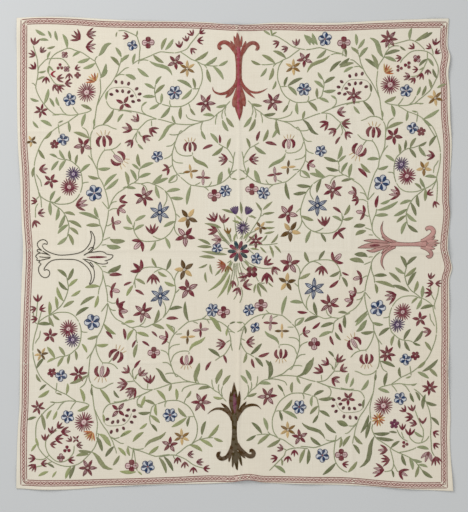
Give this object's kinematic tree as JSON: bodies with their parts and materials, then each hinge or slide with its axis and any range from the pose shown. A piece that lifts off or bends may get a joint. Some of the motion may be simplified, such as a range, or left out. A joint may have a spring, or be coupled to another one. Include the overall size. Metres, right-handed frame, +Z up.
{
  "type": "embroidered linen floor cloth",
  "caption": "Flat linen floor cloth with scrolling flower embroidery, a chain-stitched border, four side ornaments and a bouquet in the middle, laid out on the floor.",
  "frame": {"origin": "centre of the cloth's outline, on the floor that it lies on", "axes": "+Z up from the floor through the cloth, +X to the right and +Y along the longer side, to the edge that is at the top of the picture"},
  "size_m": [1.31, 1.422, 0.0099],
  "materials": {
    "linen": "matt unbleached plain-weave linen, warm cream",
    "green_thread": "soft sage and olive embroidery thread, chain stitch and satin stitch",
    "wine_thread": "wine red embroidery thread, satin stitch",
    "rose_thread": "faded rose and brick embroidery thread, chain stitch",
    "blue_thread": "indigo and pale blue embroidery thread, satin stitch",
    "gold_thread": "old gold, honey and brown embroidery thread, satin stitch",
    "purple_thread": "dull purple embroidery thread, satin stitch",
    "dark_thread": "dark brown and black embroidery thread, chain stitch"
  },
  "bodies": {
    "root": {"linen_cloth": "linen"}
  },
  "joints": []
}
